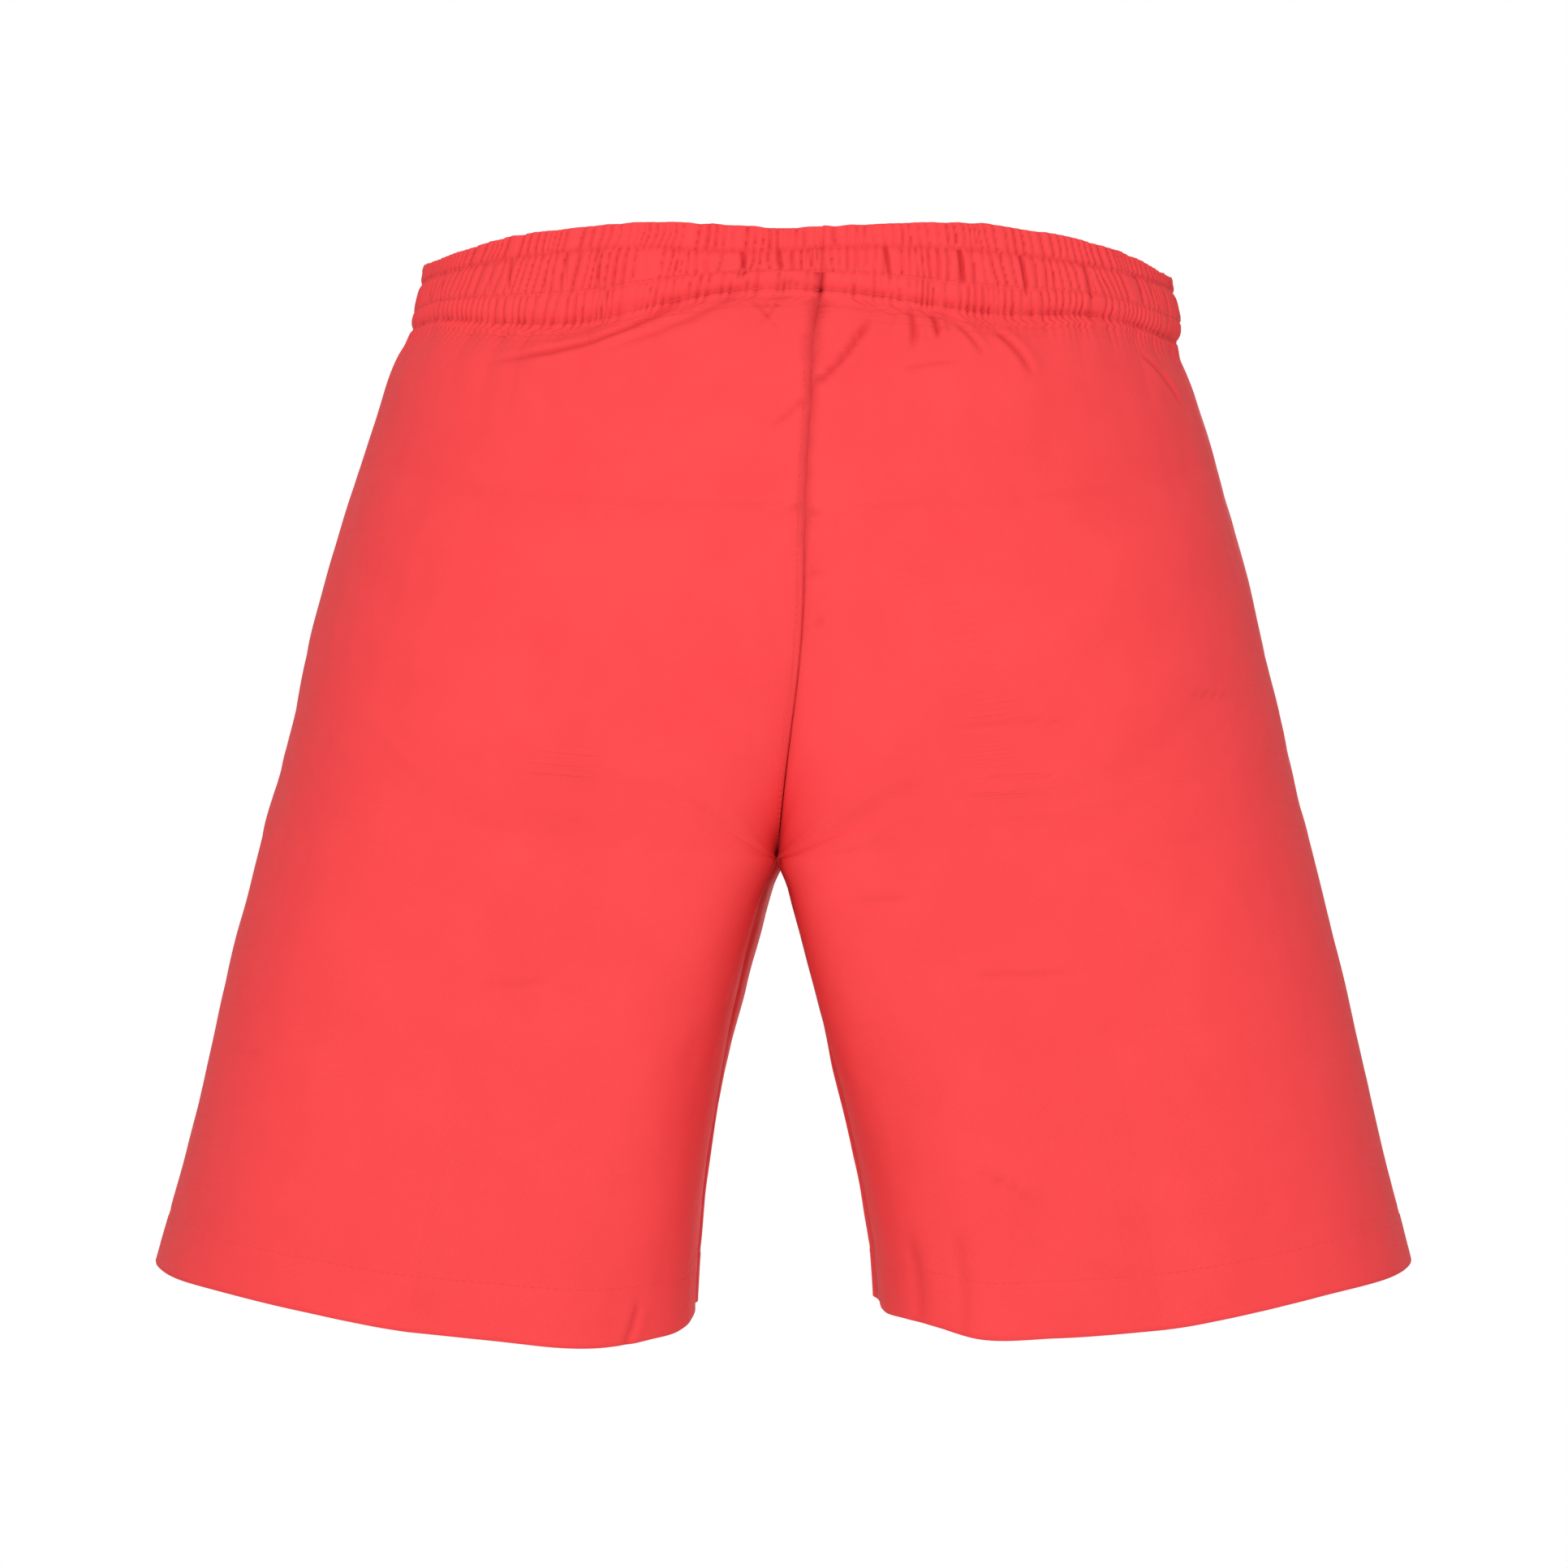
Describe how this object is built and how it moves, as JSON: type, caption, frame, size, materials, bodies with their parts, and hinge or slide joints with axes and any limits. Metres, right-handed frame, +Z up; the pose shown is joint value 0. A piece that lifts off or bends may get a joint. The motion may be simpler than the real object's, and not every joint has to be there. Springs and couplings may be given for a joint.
{
  "type": "elasticated sport shorts",
  "caption": "Loose mid-thigh sport shorts in light woven cloth with a gathered elastic waistband, a topstitched seat seam and turned-up hems.",
  "frame": {"origin": "centre of the waist opening, level with the elastic at the side seams", "axes": "+Z up towards the wearer's head, +X towards the wearer's left, -Y is the front of the shorts"},
  "size_m": [0.4782, 0.231, 0.4117],
  "materials": {
    "shell_cloth": "thin woven synthetic, soft sheen",
    "sewing_thread": "twisted polyester thread",
    "elastic": "ribbed braided elastic",
    "eyelet_metal": "nickel plated, satin",
    "patch_cloth": "non-woven interlining",
    "label_cloth": "woven satin tape"
  },
  "bodies": {
    "shorts": {"back_panel_left": "shell_cloth", "back_panel_right": "shell_cloth", "front_panel_left": "shell_cloth", "front_panel_right": "shell_cloth", "waistband_casing": "shell_cloth", "waist_elastic": "elastic", "casing_stitch_upper": "sewing_thread", "casing_stitch_middle": "sewing_thread", "casing_stitch_lower": "sewing_thread", "seat_topstitch": "sewing_thread", "front_topstitch": "sewing_thread", "hem_stitch_left": "sewing_thread", "hem_stitch_right": "sewing_thread", "eyelet_left": "eyelet_metal", "eyelet_right": "eyelet_metal", "eyelet_washer_left": "eyelet_metal", "eyelet_washer_right": "eyelet_metal", "eyelet_patch": "patch_cloth", "size_label": "label_cloth"},
    "care_label": {"care_label": "label_cloth"}
  },
  "joints": [
    {"name": "care_label_flap", "type": "hinge", "parent": "shorts", "child": "care_label", "pos_m": [0, 0.0967, -0.0041], "axis": [-1, 0, 0], "range_deg": [0, 110]}
  ]
}
